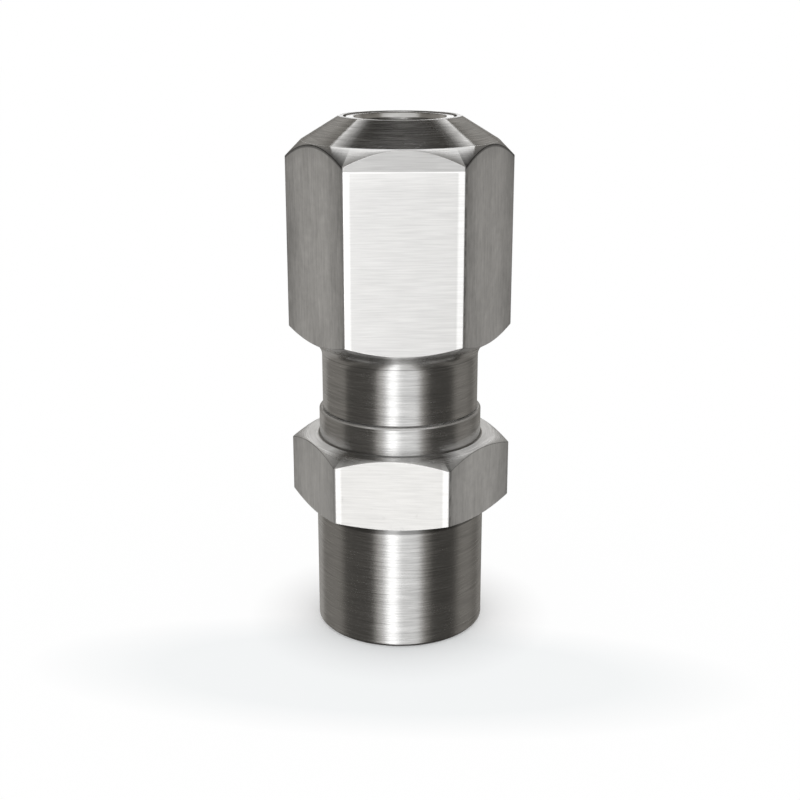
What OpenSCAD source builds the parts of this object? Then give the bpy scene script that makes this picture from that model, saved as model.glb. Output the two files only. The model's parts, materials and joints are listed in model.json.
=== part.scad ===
// Quick connect tube fitting: a body with a plain stub, a screwed cap nut that holds the grip
// cartridge, and a self-closing valve that the tube opens. Z runs up the axis, and the origin is
// the centre of the stub's end face.

/* [Tube] */
// Outer diameter of the tube that the fitting takes
tube_d = 10; // [9.8:0.1:10.2]
// Radial room round the tube in the socket
socket_gap = 0.1; // [0.06:0.02:0.2]
// Radial room round the tube at the bottom of its tapered seat
end_gap = 0.03; // [0.02:0.01:0.05]
// Width of the stop that the tube's end rests on
stop_w = 0.5; // [0.4:0.1:0.7]
// Radial room round the tube in the rings it passes through
entry_gap = 0.15; // [0.12:0.01:0.2]
// Length of the socket above the tube's stop
socket_h = 11; // [9:0.5:13]
// Length of the tapered seat at the end of the socket
end_seat_h = 3.3; // [3.2:0.1:4]

/* [Body] */
// Diameter of the stub, that of a half inch pipe
stub_d = 21.3; // [20.6:0.1:22]
// Length of the stub below the hex
stub_h = 16.3; // [15:0.5:20]
// Width across the flats of the body's hex
body_af = 24; // [23.6:0.2:27]
// Height of the body's hex
hex_h = 8.85; // [8:0.25:11]
// Height of the round collar over the hex
collar_h = 3.5; // [2.5:0.25:5]
// Step from the neck out to the collar
collar_step = 0.45; // [0.4:0.05:0.9]
// Chamfer on the collar's top edge
collar_chamfer = 0.2; // [0.1:0.05:0.4]
// Chamfer on the stub's outer edge
stub_chamfer = 0.4; // [0.2:0.1:0.8]
// Slope of the chamfer over the body's hex
hex_top_angle = 30; // [20:1:35]
// Slope of the chamfer under the body's hex
hex_bottom_angle = 20; // [12:1:30]

/* [Cap nut] */
// Width across the flats of the cap nut
nut_af = 24; // [23.6:0.2:27]
// Height of the whole cap over the seam
cap_h = 35.95; // [35.7:0.05:36.8]
// Height of the neck, from the seam to the nut's flats
neck_h = 9.35; // [9:0.05:11]
// Wall of the neck outside the thread
neck_wall = 1.25; // [1:0.05:1.4]
// Radius of the fillet between the neck and the nut
neck_fillet = 2.4; // [1.2:0.1:2.8]
// Slope of the nut's underside
under_angle = 30; // [22:1:34]
// Slope of the cone round the mouth
cone_angle = 31.5; // [30:0.5:36]
// Slope of the shoulder below that cone
shoulder_angle = 45.5; // [42:0.5:55]
// Distance of the edge between cone and shoulder inside the flats
ring_inset = 0.1; // [0.1:0.05:0.8]
// Width of the flat rim round the mouth
rim_w = 0.62; // [0.4:0.02:0.9]
// Angle at which the tightened nut stops past the body's hex
nut_turn = 6.9; // [0:0.1:30]

/* [Screw joint] */
// Pitch of the thread between cap and body
thread_pitch = 1; // [0.75:0.25:1]
// Length of the body's thread
thread_h = 6; // [5:0.5:6.5]
// Step from the boss's pilot out to the thread's crest
thread_step = 0.55; // [0.5:0.05:0.65]
// Radial running clearance of cap on body
run_gap = 0.05; // [0.03:0.01:0.08]
// Wall of the boss round the seal pocket
pocket_wall = 0.73; // [0.65:0.02:0.85]
// Step from that wall out to the pilot
pilot_step = 0.6; // [0.5:0.05:0.7]
// Length of the narrow nose on top of the boss
nose_h = 1.5; // [1.4:0.1:1.8]
// Section diameter of the cap's static seal
cap_seal_cs = 1.2; // [1:0.05:1.3]
// Height of the land under the cap's static seal
cap_seal_land = 0.45; // [0.3:0.05:0.6]

/* [Tube seal] */
// Section diameter of the tube's seal ring
seal_cs = 1.5; // [1.4:0.02:1.6]
// Height of the backup ring
backup_h = 1.3; // [1:0.1:1.5]
// Length of the guide ring's nose in the pocket
guide_nose_h = 1; // [0.8:0.1:1.3]
// Thickness of the guide ring's flange
guide_flange_h = 1.6; // [1.2:0.1:1.8]

/* [Grip] */
// Height of the wave spring at rest
wave_h = 2.6; // [2.4:0.1:2.9]
// Thickness of the wave spring's band
wave_t = 0.35; // [0.25:0.05:0.4]
// Number of waves round the spring
wave_count = 3; // [2:1:4]
// Slope of the cap's gripping cone from the axis
grip_angle = 18; // [16:0.5:20]
// Gap between the grip fingers and the cone
grip_gap = 0.12; // [0.08:0.02:0.2]
// Number of fingers on the grip collet
finger_count = 8; // [6:2:10]
// Width of the slots between the fingers
slot_w = 0.8; // [0.5:0.1:1]
// Height of the collet's closed base ring
collet_base_h = 2.5; // [2:0.1:3]
// Depth of each gripping tooth
tooth_depth = 0.35; // [0.2:0.05:0.4]
// Number of gripping teeth on each finger
tooth_count = 3; // [2:1:4]
// Travel of the release ring when it is pressed
release_travel = 1.5; // [1.2:0.1:1.5]
// Wall of the release ring's sleeve
sleeve_wall = 0.95; // [0.85:0.05:1.05]
// Thickness of the release ring's head
head_h = 1.55; // [1.2:0.05:1.6]
// Section diameter of the mouth's dust seal
dust_cs = 1; // [0.9:0.02:1.04]

/* [Valve] */
// Radius of the valve chamber
chamber_r = 8; // [7.7:0.1:8.2]
// Depth of the open stub below the retaining ring
stub_mouth = 6.5; // [5.5:0.1:7]
// Thickness of the retaining ring
ring_t = 1; // [0.8:0.1:1.2]
// Thickness of the spring seat's arms
spider_h = 2; // [1.5:0.1:2.5]
// Width of the spring seat's arms
spider_arm_w = 2.2; // [1.6:0.2:3]
// Number of the spring seat's arms
spider_arms = 4; // [3:1:5]
// Height of the hub over the spring seat's arms
hub_rise = 2; // [1:0.5:3]
// Radius of the poppet's stem
stem_r = 1.8; // [1.5:0.1:2.2]
// Radius of the poppet's head
head_r = 6.4; // [6.1:0.1:6.7]
// Thickness of the poppet's head
poppet_head_h = 2.7; // [2:0.1:3.2]
// Section diameter of the poppet's seal
valve_cs = 1.6; // [1.4:0.05:1.7]
// Travel of the poppet when the tube is pushed home
valve_travel = 3; // [2:0.25:3]
// Wire diameter of the poppet's spring
wire_d = 0.9; // [0.7:0.05:1.1]
// Mean radius of the poppet's spring
coil_r = 5; // [4.8:0.1:5.3]
// Working turns of the poppet's spring
coil_turns = 3.5; // [2.5:0.5:4]

/* [Hidden] */
$fn = 96;

// Small values that pieces share
eps = 0.02;
seat_gap = 0.05;
slide_gap = 0.08;
loose_gap = 0.1;
over = 1;
edge_w = 0.2;

// Small steps, lands and reliefs
stop_rise = 0.35;
thread_form = 0.6134;
thread_lead_w = 0.3;
thread_lead_h = 0.4;
groove_room = 0.2;
relief_h = 0.7;
land_h = 0.5;
cone_land = 0.2;
bead_step = 0.3;
head_step = 0.4;
collet_waist = 0.7;
collet_top_gap = 0.7;
tip_depth = 0.5;
wave_inset = 1.6;
wave_w = 1.45;
throat_h = 3.4;
seat_w = 1.8;
seal_step = 0.5;
seal_sit = 0.03;
seal_room = 0.07;
flange_h = 0.5;
ring_depth = 0.4;
hub_wall = 1.4;
coil_room = 1;
follower_wall = 1;
follower_ring_h = 2.4;
pin_step = 0.3;
pin_tip_h = 0.5;
steel = [0.72, 0.71, 0.69];
bright_steel = [0.8, 0.8, 0.79];
rubber = [0.09, 0.09, 0.1];
ptfe = [0.93, 0.92, 0.88];
spring_steel = [0.5, 0.51, 0.53];

// Radii from the tube outwards
tube_r = tube_d / 2;
end_seat_r = tube_r + end_gap;
socket_r = tube_r + socket_gap;
entry_r = tube_r + entry_gap;
throat_r = tube_r - stop_w;
seal_mid_r = tube_r + eps + seal_cs / 2;
pocket_r = seal_mid_r + seal_cs / 2 + seat_gap;
nose_r = pocket_r + pocket_wall;
pilot_r = nose_r + pilot_step;
thread_r = pilot_r + thread_step;
thread_core_r = thread_r - thread_form * thread_pitch;
cap_bore_r = pilot_r + run_gap;
cap_thread_r = thread_r + run_gap;
neck_r = cap_thread_r + neck_wall;
collar_r = neck_r + collar_step;
stub_r = stub_d / 2;

// Heights up the body
hex_z = stub_h;
collar_z = hex_z + hex_h;
seam_z = collar_z + collar_h;
stop_z = seam_z + stop_rise;
end_seat_z = stop_z + end_seat_h;
pocket_z = stop_z + socket_h;
seal_z = pocket_z + seat_gap + seal_cs / 2;
backup_z = seal_z + seal_cs / 2 + seat_gap;
guide_nose_z = backup_z + backup_h + loose_gap;
boss_z = guide_nose_z + guide_nose_h;
groove_z = seam_z + cap_seal_land;
groove_h = cap_seal_cs + groove_room;
groove_r = thread_r - cap_seal_cs - seat_gap;
thread_z = groove_z + groove_h;
thread_end_z = thread_z + thread_h;
nose_z = boss_z - nose_h;

// Cap nut
top_z = seam_z + cap_h;
nut_r = nut_af / 2;
nut_corner_r = nut_r / cos(30);
sleeve_r = entry_r + sleeve_wall;
land_r = sleeve_r + loose_gap;
bead_r = land_r + bead_step;
ring_head_r = land_r + head_step;
mouth_r = ring_head_r + entry_gap;
top_r = mouth_r + rim_w;
ring_r = nut_r - ring_inset;
ring_z = top_z - (ring_r - top_r) * tan(cone_angle);
flat_z = seam_z + neck_h;
cap_relief_z = thread_end_z + relief_h;
snap_t = 1;
snap_depth = 0.5;
snap_groove_r = cap_bore_r + snap_depth;
snap_in_r = nose_r + loose_gap;
snap_z = boss_z - seat_gap - snap_t;
head_z = top_z - loose_gap - head_h;
land_top_z = head_z - release_travel - seat_gap;
dust_groove_h = dust_cs + loose_gap;
dust_z = land_top_z - land_h - dust_groove_h / 2;
dust_mid_r = sleeve_r + seat_gap + dust_cs / 2;
land_z = dust_z - dust_groove_h / 2 - land_h;
bead_h = 1;
bead_z = land_z - loose_gap - bead_h;
cone_top_z = bead_z - cone_land;
cone_bottom_z = cone_top_z - (cap_bore_r - mouth_r) / tan(grip_angle);

// Grip cartridge
guide_flange_z = boss_z;
wave_z = guide_flange_z + guide_flange_h;
collet_z = wave_z + wave_h;
collet_top_z = cone_top_z - collet_top_gap;
collet_r = cap_bore_r - entry_gap;
tip_z = collet_top_z - tip_depth;

// Valve
throat_z = stop_z - throat_h;
seat_sum = throat_r + throat_z;
valve_ring_r = throat_r + seal_step;
valve_ring_z = seat_sum - valve_ring_r - (valve_cs / 2 + seal_sit) * sqrt(2);
poppet_top_z = valve_ring_z - valve_cs / 2 - seal_sit;
poppet_flange_z = valve_ring_z + valve_cs / 2 + seal_room;
poppet_nose_z = poppet_flange_z + flange_h;
seat_mouth_r = throat_r + seat_w;
chamber_top_z = seat_sum - seat_mouth_r;
poppet_base_z = poppet_top_z - poppet_head_h;
spider_z = stub_mouth + ring_t;
spider_top_z = spider_z + spider_h;
retaining_r = chamber_r + ring_depth;
hub_r = stem_r + hub_wall;
step_r = coil_r - wire_d / 2 - coil_room;
step_h = 1.5;
follower_r = throat_r - slide_gap;
follower_in_r = follower_r - follower_wall;
follower_base_h = 1.2;
follower_top_z = stop_z + valve_travel;
follower_ring_z = follower_top_z - follower_ring_h;
pin_r = stem_r - pin_step;
pin_z = poppet_nose_z + follower_base_h + pin_tip_h;

module hex_bar(af, height) {
    cylinder(r = af / 2 / cos(30), h = height, $fn = 6);
}

// A ring of round section, as all the seals are
module seal_ring(mid_r, section_d, z) {
    translate([0, 0, z])
        rotate_extrude()
            translate([mid_r, 0])
                circle(r = section_d / 2, $fn = 32);
}

// A plain ring between two heights
module washer(out_r, in_r, z, height) {
    translate([0, 0, z])
        difference() {
            cylinder(r = out_r, h = height);
            translate([0, 0, -over])
                cylinder(r = in_r, h = height + 2 * over);
        }
}

// A flat split ring with its opening towards +X
module split_ring(out_r, in_r, thickness, opening, z) {
    difference() {
        washer(out_r, in_r, z, thickness);
        translate([0, -opening / 2, z - over])
            cube([out_r + over, opening, thickness + 2 * over]);
    }
}

// The body's outside as turned: stub, hex with its chamfers, collar and boss
module body_outside() {
    hex_r = body_af / 2;
    corner_r = hex_r / cos(30);
    drop = (corner_r - hex_r) * tan(hex_top_angle);
    rise = (corner_r - hex_r) * tan(hex_bottom_angle);
    rotate_extrude()
        polygon([
            [0, 0], [stub_r - stub_chamfer, 0], [stub_r, stub_chamfer], [stub_r, hex_z + eps],
            [0, hex_z + eps]
        ]);
    intersection() {
        translate([0, 0, hex_z])
            hex_bar(body_af, hex_h);
        rotate_extrude()
            polygon([
                [0, hex_z], [hex_r, hex_z], [corner_r, hex_z + rise], [corner_r, collar_z - drop],
                [hex_r, collar_z], [0, collar_z]
            ]);
    }
    rotate_extrude()
        polygon([
            [0, collar_z - eps], [collar_r, collar_z - eps], [collar_r, seam_z - collar_chamfer],
            [collar_r - collar_chamfer, seam_z], [thread_r, seam_z], [thread_r, groove_z],
            [groove_r, groove_z], [groove_r, thread_z],
            [thread_r - thread_lead_w, thread_z], [thread_core_r, thread_z + thread_lead_h],
            [thread_core_r, thread_end_z],
            [pilot_r, thread_end_z], [pilot_r, nose_z], [nose_r, nose_z],
            [nose_r, boss_z - edge_w], [nose_r - edge_w, boss_z], [0, boss_z]
        ]);
}

// The body's inside from the stub's mouth up: chamber, valve seat, throat, socket, seal pocket
module body_inside() {
    rotate_extrude()
        polygon([
            [0, -over], [chamber_r + stub_chamfer + over, -over],
            [chamber_r, stub_chamfer], [chamber_r, stub_mouth - seat_gap],
            [retaining_r, stub_mouth - seat_gap], [retaining_r, spider_z + seat_gap],
            [chamber_r, spider_z + seat_gap], [chamber_r, chamber_top_z],
            [seat_mouth_r, chamber_top_z], [throat_r, throat_z], [throat_r, stop_z],
            [end_seat_r, stop_z], [socket_r, end_seat_z], [socket_r, pocket_z],
            [pocket_r, pocket_z], [pocket_r, boss_z + over],
            [0, boss_z + over]
        ]);
}

module body() {
    color(steel)
        difference() {
            body_outside();
            body_inside();
        }
}

// Outline of the cap as turned, without the hex's flats
module cap_profile() {
    shoulder_drop = (nut_corner_r - ring_r) * tan(shoulder_angle);
    under_rise = (nut_corner_r - nut_r) * tan(under_angle);
    fillet_r = neck_r + neck_fillet;
    under_z = flat_z + (fillet_r - nut_r) * tan(under_angle);
    fillet_z = under_z - neck_fillet / cos(under_angle);
    foot_r = fillet_r - neck_fillet * sin(under_angle);
    foot_z = fillet_z + neck_fillet * cos(under_angle);
    difference() {
        polygon([
            [0, seam_z], [neck_r, seam_z], [neck_r, fillet_z], [fillet_r, fillet_z],
            [foot_r, foot_z], [nut_corner_r, flat_z + under_rise],
            [nut_corner_r, ring_z - shoulder_drop], [ring_r, ring_z], [top_r, top_z],
            [0, top_z]
        ]);
        translate([fillet_r, fillet_z])
            circle(r = neck_fillet, $fn = 64);
    }
}

// The cap's inside from the seam up: thread, cartridge bore, gripping cone, dust seal, mouth
module cap_inside() {
    rotate_extrude()
        polygon([
            [0, seam_z - over], [cap_thread_r, seam_z - over], [cap_thread_r, cap_relief_z],
            [cap_bore_r, cap_relief_z], [cap_bore_r, snap_z - seat_gap],
            [snap_groove_r, snap_z - seat_gap], [snap_groove_r, boss_z],
            [cap_bore_r, boss_z], [cap_bore_r, cone_bottom_z], [mouth_r, cone_top_z],
            [mouth_r, land_z], [land_r, land_z], [land_r, dust_z - dust_groove_h / 2],
            [dust_mid_r + dust_cs / 2 + seat_gap, dust_z - dust_groove_h / 2],
            [dust_mid_r + dust_cs / 2 + seat_gap, dust_z + dust_groove_h / 2],
            [land_r, dust_z + dust_groove_h / 2], [land_r, land_top_z],
            [mouth_r, land_top_z], [mouth_r, top_z + over], [0, top_z + over]
        ]);
}

module cap_nut() {
    color(bright_steel)
        rotate([0, 0, nut_turn])
            difference() {
                intersection() {
                    translate([0, 0, seam_z])
                        hex_bar(nut_af, cap_h);
                    rotate_extrude()
                        cap_profile();
                }
                cap_inside();
            }
}

// Release ring: a flush head, a sleeve with a catching bead, and a tip that opens the fingers
module release_ring() {
    edge = 0.15;
    tip_w = 0.3;
    slope_h = 0.6;
    bead_slope_w = 0.1;
    bead_slope_h = 0.4;
    lead_w = 0.45;
    under_bead_r = sleeve_r - edge;
    bead_top_z = bead_z + bead_h;
    head_top_z = head_z + head_h;
    color(bright_steel)
        rotate_extrude()
            polygon([
                [entry_r, tip_z], [entry_r + tip_w, tip_z], [under_bead_r, tip_z + slope_h],
                [under_bead_r, bead_z], [bead_r, bead_z], [bead_r, bead_top_z - bead_slope_h],
                [bead_r - bead_slope_w, bead_top_z], [sleeve_r, bead_top_z],
                [sleeve_r, head_z], [ring_head_r - edge, head_z],
                [ring_head_r, head_z + edge], [ring_head_r, head_top_z - edge],
                [ring_head_r - edge, head_top_z], [entry_r + lead_w, head_top_z],
                [entry_r, head_top_z - slope_h]
            ]);
}

module dust_seal() {
    color(rubber)
        seal_ring(dust_mid_r, dust_cs, dust_z);
}

// Radius of the gripping cone, less the fingers' gap, at a height
function finger_cone_r(z) =
    mouth_r + (cone_top_z - z) * tan(grip_angle) - grip_gap / cos(grip_angle);

// Section of one finger and the base ring under it
module collet_profile() {
    tooth_h = 0.75;
    tooth_back = 0.8;
    lip_w = 0.75;
    lip_h = 0.9;
    relief = 0.5;
    bite_r = tube_r;
    root_r = bite_r + tooth_depth;
    back_r = root_r + relief;
    mouth_z = collet_top_z - lip_h;
    teeth_z = mouth_z - tooth_count * tooth_h;
    shoulder_z = cone_top_z - (collet_r + grip_gap / cos(grip_angle) - mouth_r) / tan(grip_angle);
    neck_z = collet_z + collet_base_h;
    waist_r = collet_r - collet_waist;
    polygon(concat(
        [
            [entry_r, collet_z + edge_w], [entry_r + edge_w, collet_z], [collet_r, collet_z],
            [collet_r, neck_z], [waist_r, neck_z + collet_waist],
            [waist_r, shoulder_z - edge_w - collet_waist], [collet_r, shoulder_z - edge_w],
            [collet_r, shoulder_z], [finger_cone_r(collet_top_z), collet_top_z],
            [root_r + lip_w, collet_top_z], [root_r, mouth_z]
        ],
        [
            for (i = [0 : tooth_count - 1], k = [0, 1])
                [k == 0 ? bite_r : root_r, mouth_z - (i + (k == 0 ? tooth_back : 1)) * tooth_h]
        ],
        [[back_r, teeth_z - relief], [back_r, neck_z + relief], [entry_r, neck_z]]
    ));
}

module grip_collet() {
    slot_z = collet_z + collet_base_h + collet_waist;
    color(spring_steel)
        difference() {
            rotate_extrude()
                collet_profile();
            for (i = [0 : finger_count / 2 - 1])
                rotate([0, 0, 360 / finger_count * (i + 0.5)])
                    translate([-collet_r - over, -slot_w / 2, slot_z])
                        cube([2 * (collet_r + over), slot_w, collet_top_z - collet_z]);
        }
}

// Points of the wave spring's band: four corners at each step round the ring
function wave_lift(a) = (wave_h - wave_t - 2 * eps) * (1 - cos(wave_count * a)) / 2;
function wave_corners(a) = [
    for (c = [[0, 0], [1, 0], [1, 1], [0, 1]])
        let (r = collet_r - wave_inset + c[0] * wave_w)
            [r * cos(a), r * sin(a), wave_z + eps + wave_lift(a) + c[1] * wave_t]
];

module wave_spring() {
    steps = 72;
    corners = [for (i = [0 : steps - 1]) each wave_corners(360 * i / steps)];
    sides = [
        for (i = [0 : steps - 1], k = [0 : 3])
            let (j = (i + 1) % steps, n = (k + 1) % 4)
                each [
                    [i * 4 + k, i * 4 + n, j * 4 + n],
                    [i * 4 + k, j * 4 + n, j * 4 + k]
                ]
    ];
    color(spring_steel)
        polyhedron(points = corners, faces = sides);
}

// Guide ring: a flange on the boss and a nose that closes the seal pocket
module guide_ring() {
    flange_r = cap_bore_r - loose_gap;
    guide_r = pocket_r - loose_gap;
    lead = 0.5;
    color(steel)
        rotate_extrude()
            polygon([
                [entry_r, guide_nose_z], [guide_r, guide_nose_z], [guide_r, guide_flange_z],
                [flange_r, guide_flange_z], [flange_r, wave_z - edge_w],
                [flange_r - edge_w, wave_z], [entry_r + lead, wave_z], [entry_r, wave_z - lead]
            ]);
}

module cap_snap_ring() {
    opening = 3;
    color(spring_steel)
        rotate([0, 0, nut_turn])
            split_ring(snap_groove_r - seat_gap, snap_in_r, snap_t, opening, snap_z);
}

module backup_ring() {
    color(ptfe)
        washer(pocket_r - seat_gap, socket_r, backup_z, backup_h);
}

module tube_seal() {
    color(rubber)
        seal_ring(seal_mid_r, seal_cs, seal_z);
}

module cap_seal() {
    color(rubber)
        seal_ring(groove_r + eps + cap_seal_cs / 2, cap_seal_cs, groove_z + groove_h / 2);
}

// Follower: a ring for the tube's end on four legs, with windows that let the flow out
module tube_follower() {
    window_angle = 68;
    window_w = 2 * follower_r * sin(window_angle / 2);
    window_z = poppet_nose_z + follower_base_h;
    color(steel)
        difference() {
            translate([0, 0, poppet_nose_z])
                cylinder(r = follower_r, h = follower_top_z - poppet_nose_z);
            translate([0, 0, window_z])
                cylinder(r = follower_in_r, h = follower_top_z);
            translate([0, 0, poppet_nose_z - over])
                cylinder(r = pin_r + eps, h = follower_top_z);
            for (a = [0, 90])
                rotate([0, 0, a])
                    translate([-follower_r - over, -window_w / 2, window_z])
                        cube([2 * (follower_r + over), window_w, follower_ring_z - window_z]);
        }
}

module poppet() {
    groove_floor_r = valve_ring_r - valve_cs / 2 - seat_gap;
    edge = 0.4;
    color(steel)
        rotate_extrude()
            polygon([
                [0, spider_z], [stem_r - edge, spider_z], [stem_r, spider_z + edge],
                [stem_r, poppet_base_z - step_h], [step_r - edge, poppet_base_z - step_h],
                [step_r, poppet_base_z - step_h + edge], [step_r, poppet_base_z],
                [head_r - edge, poppet_base_z], [head_r, poppet_base_z + edge],
                [head_r, poppet_top_z], [groove_floor_r, poppet_top_z],
                [groove_floor_r, poppet_flange_z], [follower_r, poppet_flange_z],
                [follower_r, poppet_nose_z], [pin_r, poppet_nose_z], [pin_r, pin_z - edge_w],
                [pin_r - edge_w, pin_z], [0, pin_z]
            ]);
}

module poppet_seal() {
    color(rubber)
        seal_ring(valve_ring_r, valve_cs, valve_ring_z);
}

// Height of the coil's centre line after some turns, with a closed turn at each end
coil_bottom_z = spider_top_z + wire_d / 2 + eps;
coil_top_z = poppet_base_z - wire_d / 2 - eps;
coil_all = coil_turns + 2;
coil_rise = coil_top_z - coil_bottom_z - 2 * wire_d;
function coil_z(t) =
    coil_bottom_z + wire_d * min(t, 1) + coil_rise * max(0, min(t - 1, coil_turns)) / coil_turns
    + wire_d * max(0, t - 1 - coil_turns);

module poppet_spring() {
    sides = 8;
    turn_steps = 24;
    wire_r = 0.495 * wire_d;
    steps = round(turn_steps * coil_all);
    ring = [for (k = [0 : sides - 1]) 360 * k / sides];
    corners = [
        for (i = [0 : steps], b = ring)
            let (t = coil_all * i / steps, r = coil_r + wire_r * cos(b))
                [r * cos(360 * t), r * sin(360 * t), coil_z(t) + wire_r * sin(b)]
    ];
    walls = [
        for (i = [0 : steps - 1], k = [0 : sides - 1])
            let (n = (k + 1) % sides, a = i * sides, b = a + sides)
                each [[a + k, b + k, b + n], [a + k, b + n, a + n]]
    ];
    ends = [
        [for (k = [0 : sides - 1]) k],
        [for (k = [0 : sides - 1]) steps * sides + sides - 1 - k]
    ];
    color(spring_steel)
        polyhedron(points = corners, faces = concat(walls, ends));
}

// Spring seat: a rim and arms that carry the hub in which the stem slides
module spring_seat() {
    rim_wall = 1.2;
    arm_seat = 0.5;
    rim_r = chamber_r - loose_gap;
    rim_in_r = rim_r - rim_wall;
    color(steel)
        difference() {
            union() {
                washer(rim_r, rim_in_r, spider_z, spider_h);
                translate([0, 0, spider_z])
                    cylinder(r = hub_r, h = spider_h + hub_rise);
                for (i = [0 : spider_arms - 1])
                    rotate([0, 0, 360 / spider_arms * i + 45])
                        translate([0, -spider_arm_w / 2, spider_z])
                            cube([rim_in_r + arm_seat, spider_arm_w, spider_h]);
            }
            translate([0, 0, spider_z - over])
                cylinder(r = stem_r + slide_gap, h = spider_h + hub_rise + 2 * over);
        }
}

// Retaining ring with two lugs that a pair of pliers grips
module retaining_ring() {
    lug_r = 1.25;
    lug_hole_r = 0.6;
    lug_at = chamber_r - 1.9;
    lug_angle = 20;
    band_in_r = chamber_r - 1.1;
    opening = 2.2;
    color(spring_steel)
        difference() {
            union() {
                washer(retaining_r - seat_gap, band_in_r, stub_mouth, ring_t);
                for (a = [-lug_angle, lug_angle])
                    rotate([0, 0, a])
                        translate([lug_at, 0, stub_mouth])
                            cylinder(r = lug_r, h = ring_t);
            }
            for (a = [-lug_angle, lug_angle])
                rotate([0, 0, a])
                    translate([lug_at, 0, stub_mouth - over])
                        cylinder(r = lug_hole_r, h = ring_t + 2 * over);
            translate([0, -opening / 2, stub_mouth - over])
                cube([chamber_r + over, opening, ring_t + 2 * over]);
        }
}

body();
cap_nut();
release_ring();
dust_seal();
grip_collet();
wave_spring();
guide_ring();
cap_snap_ring();
backup_ring();
tube_seal();
cap_seal();
tube_follower();
poppet();
poppet_seal();
poppet_spring();
spring_seat();
retaining_ring();
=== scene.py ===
"""Finished surfaces, materials and studio for a quick connect tube fitting.

Every turned piece is one closed surface: an outline in the plane of radius and height is carried
round the fitting's axis, and its radius may change with the angle, as on a hex or a thread.
The pieces' sizes are in millimetres. The meshes and the places in the materials are in metres.
"""

import json

import bpy
import numpy as np
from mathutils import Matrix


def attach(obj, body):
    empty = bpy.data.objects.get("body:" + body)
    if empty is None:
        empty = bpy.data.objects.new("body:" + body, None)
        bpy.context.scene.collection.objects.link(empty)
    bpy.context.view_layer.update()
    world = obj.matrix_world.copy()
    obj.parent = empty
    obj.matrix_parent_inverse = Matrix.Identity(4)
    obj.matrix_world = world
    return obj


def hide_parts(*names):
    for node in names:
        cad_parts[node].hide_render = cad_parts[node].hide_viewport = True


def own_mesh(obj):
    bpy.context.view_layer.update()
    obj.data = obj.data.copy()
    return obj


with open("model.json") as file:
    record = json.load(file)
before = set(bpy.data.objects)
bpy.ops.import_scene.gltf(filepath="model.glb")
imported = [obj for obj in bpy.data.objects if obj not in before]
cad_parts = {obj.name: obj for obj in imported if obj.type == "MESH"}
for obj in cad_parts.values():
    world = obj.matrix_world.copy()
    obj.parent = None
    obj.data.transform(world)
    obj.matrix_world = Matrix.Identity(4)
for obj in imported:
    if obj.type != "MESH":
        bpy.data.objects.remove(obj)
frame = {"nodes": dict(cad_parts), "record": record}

bl_info = {
    "name": "Quick connect tube fitting",
    "version": (1, 0, 0),
    "blender": (4, 5, 0),
    "location": "View3D > Sidebar > Fitting",
    "description": "Builds the fitting's turned surfaces, its finishes and a plain studio",
    "category": "Add Mesh",
}

MM = 0.001
ARC_STEPS = 4
HEX_PITCH = np.pi / 3
HALF_PITCH = np.pi / 6
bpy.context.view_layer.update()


# Sizes and colours that a user may change


class FittingSizes(bpy.types.PropertyGroup):
    """Outer sizes of the fitting's visible pieces, in millimetres."""

    body_flats: bpy.props.FloatProperty(
        name="Body flats", description="Width across the flats of the body's hex", default=24.0
    )
    nut_flats: bpy.props.FloatProperty(
        name="Nut flats", description="Width across the flats of the cap nut", default=24.0
    )
    nut_turn: bpy.props.FloatProperty(
        name="Nut turn", description="Angle of the tightened nut past the body's hex, in degrees",
        default=6.9,
    )
    stub_radius: bpy.props.FloatProperty(
        name="Stub radius", description="Radius of the plain stub", default=10.65
    )
    collar_radius: bpy.props.FloatProperty(
        name="Collar radius", description="Radius of the collar under the seam", default=10.2
    )
    neck_radius: bpy.props.FloatProperty(
        name="Neck radius", description="Radius of the cap's neck", default=9.75
    )
    hex_corner: bpy.props.FloatProperty(
        name="Hex corner", description="Radius of the worn upright edges of both hexes",
        default=0.3,
    )
    edge_break: bpy.props.FloatProperty(
        name="Edge break", description="Radius of the small rounding on the turned edges",
        default=0.12,
    )


class FittingColours(bpy.types.PropertyGroup):
    """Base colours of the fitting's metals and soft parts."""

    turned: bpy.props.FloatVectorProperty(
        name="Turned steel", description="Base colour of the lathe-turned steel",
        subtype="COLOR", size=3, default=(0.62, 0.618, 0.612),
    )
    flats: bpy.props.FloatVectorProperty(
        name="Nut flats", description="Base colour of the cap nut's brushed flats",
        subtype="COLOR", size=3, default=(0.752, 0.747, 0.737),
    )
    body_flats: bpy.props.FloatVectorProperty(
        name="Body flats", description="Base colour of the flats of the body's hex",
        subtype="COLOR", size=3, default=(0.605, 0.598, 0.584),
    )
    # Colour of the painted highlights: the bright rims and edges of the front and back flats, and
    # the bright marks on the cone, shoulder, body chamfer and seam.
    painted_highlight: bpy.props.FloatVectorProperty(
        name="Burnished edge", description="Base colour of the rubbed edges",
        subtype="COLOR", size=3, default=(0.97, 0.965, 0.955),
    )
    bright: bpy.props.FloatVectorProperty(
        name="Bright steel", description="Base colour of the fine-turned small pieces",
        subtype="COLOR", size=3, default=(0.7, 0.695, 0.68),
    )
    spring: bpy.props.FloatVectorProperty(
        name="Spring steel", description="Base colour of springs, collet and snap rings",
        subtype="COLOR", size=3, default=(0.48, 0.475, 0.47),
    )
    rubber: bpy.props.FloatVectorProperty(
        name="Rubber", description="Base colour of the seal rings",
        subtype="COLOR", size=3, default=(0.018, 0.018, 0.02),
    )
    ptfe: bpy.props.FloatVectorProperty(
        name="Backup ring", description="Base colour of the white backup ring",
        subtype="COLOR", size=3, default=(0.82, 0.81, 0.78),
    )


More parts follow.
